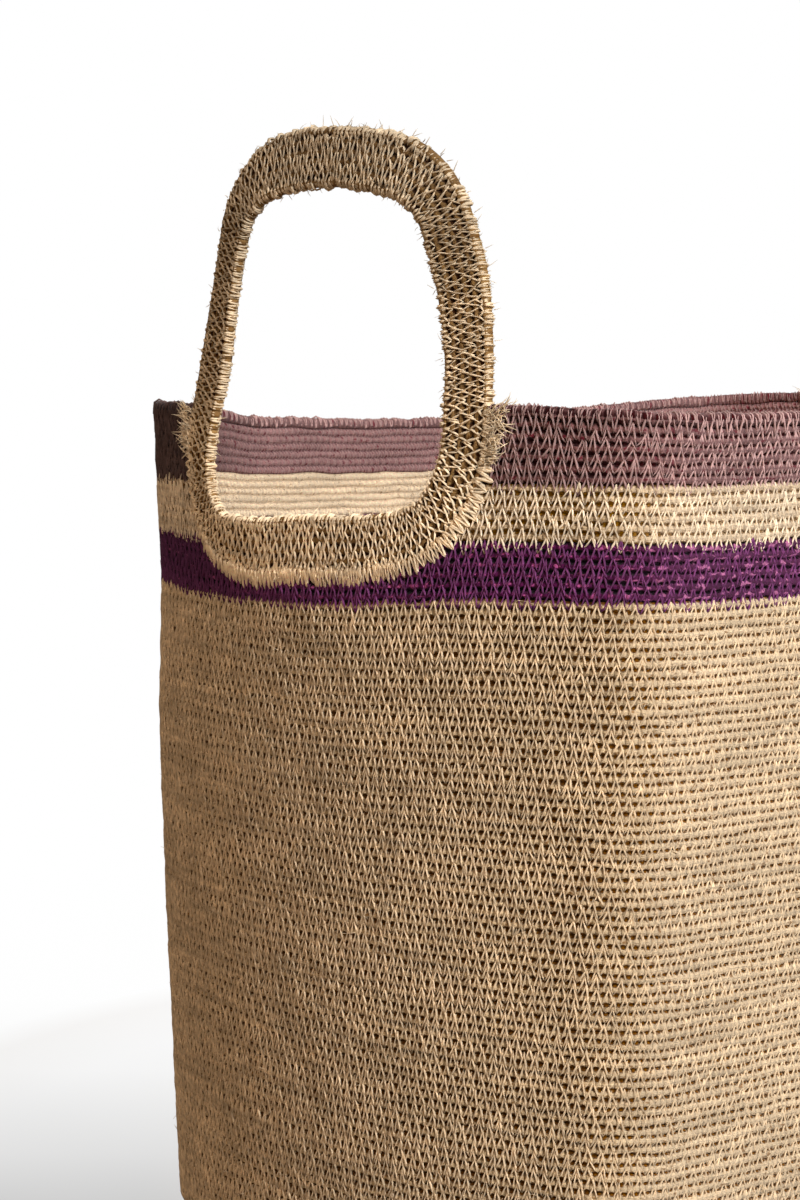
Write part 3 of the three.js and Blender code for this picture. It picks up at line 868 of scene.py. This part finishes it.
def thread_material(name, colour, shaded, thread_end_shade):
    """Sewing thread: a fine twist, with light and dark lengths, and painted shade on the slack ends."""
    made = Shades(name)
    place = made.place()
    # The last factor is painted shade that darkens the thread on the slack ends
    shade = made.times(
        made.spread(made.noise(place, None, 330.0), 0.74, 1.2),
        made.spread(made.noise(place, None, 40.0), 0.86, 1.12),
        made.spread(made.noise(place, (12.0, 12.0, 300.0), 1.0), 0.84, 1.16),
        made.by_slack_and_shade(1.0, thread_end_shade))
    twist = made.noise(made.node("UVMap", {}, uv_map="Rows"), (26.0, 2.0, 1.0), 1.0, 1.0)
    # Painted shade at the corner left of the left handle, and painted light and shade on the handles
    base = painted_light_and_shade(made, made.hue(linear(colour), shade), shaded)
    return made.finish(base, twist, 0.75, 0.3, 0.0002)


def colour_property(name, description, default):
    return bpy.props.FloatVectorProperty(
        name=name, description=description, default=default, subtype="COLOR_GAMMA",
        size=3, min=0, max=1)


def length_property(name, description, default):
    return bpy.props.FloatProperty(
        name=name, description=description, default=default, min=0.0001, soft_max=2.0,
        unit="LENGTH", precision=4)


class BasketSizes(bpy.types.PropertyGroup):
    """Sizes of the basket and its cords."""

    length: length_property("Length", "Over the outside at the rim, along the long sides", 0.470)
    width: length_property("Width", "Over the outside at the rim, across", 0.346)
    height: length_property("Height", "Floor to the top of the rim cord", 0.350)
    row_pitch: length_property("Row pitch", "From one sewn row to the next", 0.0035)
    groove_depth: length_property("Groove", "Depth between two rows", 0.0019)
    stitch: length_property("Stitch", "Length of one zigzag stitch along the seam", 0.0046)
    thread: length_property("Thread", "Width of the sewing thread", 0.00085)
    ring_width: length_property("Handle width", "Ring handle, outer edge to outer edge", 0.181)
    ring_height: length_property("Handle height", "Ring handle, bottom to crown", 0.178)
    ring_drop: length_property("Handle drop", "How far the ring reaches below the rim", 0.063)


class BasketColours(bpy.types.PropertyGroup):
    """Colours of the dyed and natural raffia."""

    natural: colour_property("Natural", "Undyed cord of the body", (0.92, 0.83, 0.70))
    purple: colour_property("Purple", "Lowest coloured band", (0.37, 0.17, 0.32))
    cream: colour_property("Cream", "Bleached middle band", (0.91, 0.82, 0.70))
    mauve: colour_property("Mauve", "Upper band and rim cord", (0.545, 0.41, 0.41))
    handle: colour_property("Handle", "Cord of the ring handles", (0.64, 0.525, 0.39))


def finish_for(slot, scene):
    """Cord and thread materials of a slot, made once."""
    label, fleck, flecks, gap, thread, shaded, thread_end_shade = FINISHES[slot]
    colour = getattr(scene.basket_colours, label.lower())
    stitch_length = scene.basket_sizes.stitch
    cord = bpy.data.materials.get(f"{label} Cord") or cord_material(
        f"{label} Cord", colour, fleck, flecks, gap, thread, shaded, stitch_length)
    sewn = bpy.data.materials.get(f"{label} Thread") or thread_material(
        f"{label} Thread", thread, shaded, thread_end_shade)
    return cord, sewn


class BASKET_OT_base_mat(bpy.types.Operator):
    """Flat mat of cord rows that fills the foot of the wall"""

    bl_idname = "basket.base_mat"
    bl_label = "Base Mat"

    def execute(self, context):
        form = Form(context.scene.basket_sizes)
        s = np.linspace(0, form.rim, MAT_COLUMNS, endpoint=False)
        turn = form.turn_at(s)
        x, y = form.plan_point(turn, 0.0, -FOOT_RADIUS - FOOT_LIP - SEAM_GAP)
        v, f = spread_rows(0, MAT_ROWS, COARSE_ROW)
        outward = (1 - v / MAT_ROWS)[None]
        spine = np.clip(x, -MAT_SPINE, MAT_SPINE)
        px = spine[:, None] + (x - spine)[:, None] * outward
        py = y[:, None] * outward
        low = -cord_round(f, form.groove * INNER_GROOVE)
        upper, lower = (np.stack([px, py, np.broadcast_to(z, px.shape)], -1) for z in (WALL - low, low))
        points = np.concatenate([upper, lower[:, ::-1]], 1)
        from_end = np.abs(np.mod(s + form.half_rim / 2, form.half_rim) - form.half_rim / 2)
        bend = np.where(x == spine, 0, from_end[x != spine].max() - from_end)
        u = spine[:, None] + (np.sign(x) * bend)[:, None] * outward
        u = np.concatenate([u, u[:1]]) / 10
        u = np.concatenate([u, u[:, ::-1]], 1)
        vertices, quads, uv = closed_shell(points, u, np.concatenate([v, v[::-1]]) + DRAWN_ROWS, True)
        sides = points.shape[1]
        every = np.arange(len(vertices))
        section, place = np.divmod(every, sides)
        is_middle = (place == len(v) - 1) | (place == len(v))
        mirrored = ((MAT_COLUMNS - section) % MAT_COLUMNS) * sides + place
        merged = np.where(is_middle & (section > MAT_COLUMNS // 2), mirrored, every)
        is_slit = np.arange(len(quads)) % sides == len(v) - 1
        used, index = np.unique(merged[quads[~is_slit]], return_inverse=True)
        shell = vertices[used], index.reshape(-1, 4), uv[~is_slit]
        make_piece("base_mat_rows", "natural_raffia", [shell], "base_mat")
        return {"FINISHED"}


class BASKET_OT_natural_wall(bpy.types.Operator):
    """Natural cord rows from the floor to the purple band, in tiers"""

    bl_idname = "basket.natural_wall"
    bl_label = "Natural Wall"

    def execute(self, context):
        form = Form(context.scene.basket_sizes)
        for n, low, high in tiers(-NATURAL_ROWS, 3):
            shell = rows_shell(form, low, high - low, NATURAL_COLUMNS)
            make_piece(f"natural_rows_{n}", "natural_raffia", [shell], "natural_wall")
        return {"FINISHED"}


def tiers(first, count):
    """Number, first row and row after the last of each tier of the natural wall."""
    marks = np.linspace(first, 0, count + 1).round().astype(int)
    return zip(range(1, count + 1), marks[:-1], marks[1:])


def side_runs(form, tuck=ROW_TUCK):
    """Where the back and front rows start and end: at the edges of the two rings."""
    def run(start, end):
        """From one ring's edge on after start to the other's before end, for any row."""
        return lambda v: start + form.row_end(v, tuck, 1), lambda v: end - form.row_end(v, tuck, -1)

    return {"back": run(0, form.half_rim), "front": run(form.half_rim, form.rim)}


class BASKET_OT_bands(bpy.types.Operator):
    """Purple, cream and mauve rows, cut where the ring handles are let in"""

    bl_idname = "basket.bands"
    bl_label = "Coloured Bands"

    def execute(self, context):
        form = Form(context.scene.basket_sizes)
        runs = side_runs(form)
        shells = [rows_shell(form, 0, 1, LOWEST_BAND_COLUMNS)]
        for run in runs.values():
            shells.append(rows_shell(form, 1, PURPLE_ROWS - 1, SIDE_COLUMNS, run, FINE_ROW))
        make_piece("purple_rows", "purple_raffia", shells, "purple_band")
        for name, first, rows in BANDS[1:]:
            for side in ("front", "back"):
                shell = rows_shell(form, first, rows, SIDE_COLUMNS, runs[side], FINE_ROW)
                make_piece(f"{name}_rows_{side}", f"{name}_raffia", [shell], f"{name}_band_{side}")
        return {"FINISHED"}


class BASKET_OT_rim(bpy.types.Operator):
    """Plump mauve cord along the rim, front and back"""

    bl_idname = "basket.rim"
    bl_label = "Rim Cord"

    def execute(self, context):
        form = Form(context.scene.basket_sizes)
        middle = RIM_START + RIM_CORD / 2 / form.pitch
        rng = np.random.default_rng(23)
        phi = np.linspace(0, 2 * math.pi, 12, endpoint=False)
        for side, (start, end) in side_runs(form).items():
            first, last = float(start(RIM_START)), float(end(RIM_START))
            s = np.linspace(first, last, int((last - first) / RIM_STEP) + 1)[:, None]
            lumps = np.abs(np.sin(math.pi * s / RIM_STITCH + rng.uniform(0, 6))) ** 0.7
            radius = RIM_CORD / 2 - 0.1 + 0.3 * lumps
            v = middle + radius * np.sin(phi) / form.pitch
            points = form.wall(s, v, radius * np.cos(phi) - WALL / 2)
            shell = closed_shell(points, s / 10, phi / (2 * math.pi), False)
            make_piece(f"rim_cord_{side}_round", "mauve_raffia", [shell], f"rim_cord_{side}")
        return {"FINISHED"}


class BASKET_OT_handles(bpy.types.Operator):
    """Closed rings of concentric cord rows, one let into each end"""

    bl_idname = "basket.handles"
    bl_label = "Ring Handles"

    def execute(self, context):
        form = Form(context.scene.basket_sizes)
        v, f = spread_rows(0, RING_ROWS, FINE_ROW)
        from_edge = np.clip(np.minimum(v, RING_ROWS - v) * RING_ROW_PITCH / 2.0, 0, 1)
        face = (RING_FACE - 0.2) * np.sqrt(1 - (1 - from_edge) ** 2) + 0.2 + cord_round(f, form.groove)
        face[[0, -1]] = 0.25
        v = np.concatenate([v, v[::-1]])
        proud = np.concatenate([face, -face[::-1]])
        along = np.linspace(0, form.ring_run, RING_COLUMNS + 1)[:, None]
        for name in ("left", "right"):
            points = form.ring(name == "left", along[:-1], v * RING_ROW_PITCH, proud)
            shell = closed_shell(points, along / 10, np.clip(v, 0.4, RING_ROWS - 0.4), True)
            make_piece(f"{name}_handle_rows", "handle_raffia", [shell], f"{name}_handle")
        return {"FINISHED"}


class BASKET_OT_thread(bpy.types.Operator):
    """Zigzag sewing thread over every seam of the wall, rim and handles"""

    bl_idname = "basket.thread"
    bl_label = "Sewing Thread"

    def execute(self, context):
        form = Form(context.scene.basket_sizes)
        rng = np.random.default_rng(5)

        def seam(place, path, start, end, is_ring, pitch=form.pitch, step=form.stitch, broad=1, **more):
            """Zigzag thread, as wide as the basket's own thread times broad."""
            width = broad * form.thread
            return zigzag(place, path, start, end, pitch, step, rng, is_ring, width, **more)

        self.sew_wall(form, rng, seam)
        self.sew_rim(form, seam)
        for name in ("left", "right"):
            place = functools.partial(form.ring, name == "left")
            shells = self.ring_ends(form, rng, place) + self.ring_seams(form, seam, place)
            make_piece(f"{name}_handle_thread", "handle_raffia", shells)
        return {"FINISHED"}

    def sew_wall(self, form, rng, seam):
        """Seams and loose fibres of the natural wall, and seams of the bands."""
        def wall_fibre(low, high):
            """A loose fibre from a random place of the wall between two rows."""
            root = np.array([rng.uniform(0, form.rim), rng.uniform(low, high) * form.pitch, 0.3])
            way = np.array([rng.normal(0, 3.5), rng.normal(0, 2.2), 0.5])
            curl = rng.normal((0, 0, 0.5), 0.9)
            return fibre(lambda s, up, out: form.wall(s, up / form.pitch, out), root, way, curl)

        def pulled(s, v, out):
            """The wall, with tight thread sunk in the rows on the long sides and under the foot."""
            ends = np.abs(form.wall(s, v, out)[..., 0]) * MM
            under = np.clip((-v * form.pitch - form.upright) / FOOT_RADIUS, 0, 1)
            sunk = np.maximum(np.interp(ends, SLACK_AND_SHADE, (SUNK_SIDES, 0)), SUNK_FOOT * under)
            return form.wall(s, v, out - sunk)

        def wall_seam(v, first=None, last=None):
            """Seam over groove v, all round or in whole stitches from first to last."""
            start = form.stitch * (seam_phase(v) % 1)
            run = form.rim
            if first is not None:
                start += form.stitch * math.ceil((first - start) / form.stitch)
                run = form.stitch * math.floor((last - start) / form.stitch)
            stray = STRAY["wall" if v < 0 else "band"]
            return seam(pulled, stitch_path(v), start, start + run, first is None, stray=stray)

        for n, low, high in tiers(1 - NATURAL_ROWS, 5):
            shells = [wall_seam(v) for v in range(low, high)]
            shells += [wall_fibre(max(low, LOWEST_FIBRE_ROW), high) for _ in range(FIBRES_PER_TIER)]
            make_piece(f"natural_thread_{n}", "natural_raffia", shells)
        runs = side_runs(form, THREAD_TUCK).values()
        for name, first, rows in BANDS:
            shells = []
            for v in range(first, first + rows):
                if v <= 1:
                    shells.append(wall_seam(v))
                    continue
                for start, end in runs:
                    shells.append(wall_seam(v, float(start(v + 0.5)), float(end(v + 0.5))))
            make_piece(f"{name}_thread", f"{name}_raffia", shells)

    def sew_rim(self, form, seam):
        """A seam that holds each rim cord to the rows under it, and thread wound round it."""
        round_rim = np.radians((-75, -20, 35, 90, 145, 200, 255))
        reach = RIM_CORD / 2 + np.array((0.1, 0.65, 0.65, 0.65, 0.65, 0.65, 0.1))
        wrap_v = RIM_START + (RIM_CORD / 2 + reach * np.sin(round_rim)) / form.pitch
        wrap = np.stack([wrap_v, reach * np.cos(round_rim) - WALL / 2, np.linspace(0, 1, 7)], 1)
        shells = []
        for start, end in side_runs(form, THREAD_TUCK).values():
            first, last = float(start(RIM_START)), float(end(RIM_START))
            shells.append(seam(form.wall, RIM_SEAM, first, last, False))
            shells.append(seam(form.wall, wrap, first, last, False, step=RIM_STITCH))
        make_piece("rim_thread", "mauve_raffia", shells)

    def ring_ends(self, form, rng, place):
        """Loose fibres round a ring and tufts where its legs leave the wall."""
        first, last = form.ring_below()
        shells = []
        for _ in range(RING_FIBRES):
            along, side = rng.uniform(0, form.ring_run), rng.choice((-1, 1))
            in_wall = along < last or along > form.ring_run + first
            proud = side * 2.7 if in_wall else rng.uniform(-2.4, 2.4)
            way = rng.normal((0, -2.2, 0.3 * proud), (1.3, 0.8, 0.4))
            shells.append(fibre(place, np.array([along, 0, proud]), way, rng.normal((0, 0, 0), 0.8)))
            root = np.array([rng.uniform(0, form.ring_run), RING_BAND, rng.uniform(-2, 2)])
            way = rng.normal((0, 1.8, 0), (1.2, 0.6, 1))
            shells.append(fibre(place, root, way, rng.normal((0, 0, 0), 0.8)))
        for end, up in ((first, -1), (last, 1)):
            for _ in range(TUFT_FIBRES):
                side, down = rng.choice((-1, 1)), rng.uniform(-1, TUFT_HEIGHT)
                over = rng.uniform(0, 0.45) * (TUFT_HEIGHT - down)
                root = np.array([end - up * down, rng.uniform(-1.5, 2) - over, side * 2.8])
                way = (rng.normal(0.8 * up, 1.8), -rng.uniform(2, 7), side * rng.uniform(0, 1.4))
                shells.append(
                    fibre(place, root, np.array(way), rng.normal((0, 0.3, 0.4 * side), 1.1), 0.26))
        return shells

    def ring_seams(self, form, seam, place):
        """Seams of a ring's faces, the spiky seams that hold it in the wall, and edge stitches."""
        first, last = form.ring_below()
        shells = []
        for side in (1, -1):
            def face_place(s, v, out):
                """Along the ring, rows across it, and out from the crests of one face."""
                return place(s, v * RING_ROW_PITCH, side * (RING_FACE + out))

            def wall_place(s, v, out):
                """Along the ring, millimetres across it, and out from its middle to one side."""
                return place(s, v, side * out)

            for v in range(1, RING_ROWS):
                start = RING_STITCH * seam_phase(1.7 * v)
                path = stitch_path(v, max(-1, 0.35 - v), min(1, RING_ROWS - 0.35 - v))
                shells.append(seam(
                    face_place, path, start, start + form.ring_run, True, RING_ROW_PITCH, RING_STITCH,
                    stray=STRAY["ring"]))
            for reach, step in SPIKY_SEAMS:
                path = ((reach, 1.8, 0), (reach + 1.2, 2.5, 0.2), *SPIKE_END)
                shells.append(seam(wall_place, path, first, last, False, 1, step, stray=STRAY["spike"]))
        for is_outer in (True, False):
            shells.append(seam(
                place, edge_path(is_outer), 0, form.ring_run, True, 1, EDGE_STITCH, EDGE_THREAD,
                stray=STRAY["edge"]))
        return shells


class BASKET_OT_stage(bpy.types.Operator):
    """Pale floor, white background, soft studio light and the camera"""

    bl_idname = "basket.stage"
    bl_label = "Stage"

    def execute(self, context):
        scene = context.scene
        scene.view_settings.view_transform = "Standard"
        self.make_world(scene)
        self.make_floor(scene)
        for name, place, size, power, colour in LAMPS:
            lamp = bpy.data.lights.new(name, "AREA")
            lamp.size, lamp.energy, lamp.color = size, power, colour
            self.add(scene, name, lamp, place, LAMP_AIM - Vector(place))
        camera = bpy.data.cameras.new("camera")
        camera.lens = 69
        camera.sensor_width = 36
        camera.shift_y = -0.15
        scene.camera = self.add(scene, "camera", camera, CAMERA_PLACE, CAMERA_WAY)
        return {"FINISHED"}

    def add(self, scene, name, data, place, way):
        """Adds a lamp or camera that looks one way."""
        made = bpy.data.objects.new(name, data)
        made.location = place
        made.rotation_mode = "QUATERNION"
        made.rotation_quaternion = Vector(way).to_track_quat("-Z", "Y")
        scene.collection.objects.link(made)
        return made

    def make_world(self, scene):
        """White where the camera sees it, in gloss too, and dim and warm as a light."""
        made = Shades("Studio", "worlds")
        kinds = ("Camera", "Glossy", "Transmission")
        seen = functools.reduce(
            functools.partial(made.maths, "MAXIMUM"),
            [made.node("LightPath", {}, f"Is {kind} Ray") for kind in kinds])
        light = made.node("Background", {"Color": (1.0, 0.76, 0.55, 1), "Strength": 0.09})
        white = made.node("Background", {"Color": WHITE, "Strength": 1.0})
        made.node("OutputWorld", {"Surface": made.node("MixShader", {0: seen, 1: light, 2: white})})
        scene.world = made.block

    def make_floor(self, scene):
        """Paper that glows white away from the basket, with a painted shadow of grey glow towards the
        camera at its left.
        """
        made = Shades("Studio Floor")
        place = made.place()
        far = made.node("VectorMath", {0: place}, "Value", operation="LENGTH")
        depth, left = (
            made.node("VectorMath", {0: place, 1: way}, "Value", operation="DOT_PRODUCT")
            for way in (CAMERA_WAY, (-CAMERA_WAY[1], CAMERA_WAY[0], 0)))
        rays = made.node("LightPath", {}, "Is Camera Ray")
        paper = made.mixed(rays, (0.26, 0.20, 0.15, 1), (0.93, 0.93, 0.93, 1))
        paper = made.node("BsdfDiffuse", {"Color": paper})
        # Painted shadow: grey glow on the floor at the basket's left, towards the camera
        painted_shadow_share = made.times(
            made.mapped(left, 0.0, 0.25, 0.0, 1.0), made.mapped(far, 0.34, 0.85, 1.0, 0.0))
        tone = made.plus(*(made.mapped(depth, *span) for span in PAINTED_FLOOR_SHADOW))
        grey = made.node("CombineXYZ", {0: tone, 1: tone, 2: tone})
        glow = made.node("Emission", {"Color": made.mixed(painted_shadow_share, WHITE, grey), "Strength": 1.0})
        fade = made.maths("MAXIMUM", made.mapped(far, 0.30, 0.44, 0.40, 1.0), made.times(painted_shadow_share, 0.97))
        shown = made.node("MixShader", {0: made.times(fade, rays), 1: paper, 2: glow})
        made.node("OutputMaterial", {"Surface": shown})
        mesh = bpy.data.meshes.new("floor")
        mesh.from_pydata([(-8, -8, 0), (8, -8, 0), (8, 8, 0), (-8, 8, 0)], [], [(0, 1, 2, 3)])
        mesh.materials.append(made.block)
        floor = bpy.data.objects.new("floor", mesh)
        scene.collection.objects.link(floor)


class BASKET_PT_panel(bpy.types.Panel):
    """Lists the basket's pieces, sizes and colours"""

    bl_label = "Raffia Basket"
    bl_idname = "BASKET_PT_panel"
    bl_space_type = "VIEW_3D"
    bl_region_type = "UI"
    bl_category = "Basket"

    def draw(self, context):
        for group in (context.scene.basket_sizes, context.scene.basket_colours):
            for key in group.__annotations__:
                self.layout.prop(group, key)
        for operator in OPERATORS:
            self.layout.operator(operator.bl_idname)


OPERATORS = (
    BASKET_OT_base_mat,
    BASKET_OT_natural_wall,
    BASKET_OT_bands,
    BASKET_OT_rim,
    BASKET_OT_handles,
    BASKET_OT_thread,
    BASKET_OT_stage,
)
CLASSES = (BasketSizes, BasketColours, *OPERATORS, BASKET_PT_panel)


def register():
    for cls in CLASSES:
        bpy.utils.register_class(cls)
    bpy.types.Scene.basket_sizes = bpy.props.PointerProperty(type=BasketSizes)
    bpy.types.Scene.basket_colours = bpy.props.PointerProperty(type=BasketColours)


def unregister():
    del bpy.types.Scene.basket_colours
    del bpy.types.Scene.basket_sizes
    for cls in reversed(CLASSES):
        bpy.utils.unregister_class(cls)


def main():
    register()
    bpy.ops.basket.base_mat()
    bpy.ops.basket.natural_wall()
    bpy.ops.basket.bands()
    bpy.ops.basket.rim()
    bpy.ops.basket.handles()
    bpy.ops.basket.thread()
    bpy.ops.basket.stage()


if __name__ == "__main__":
    main()
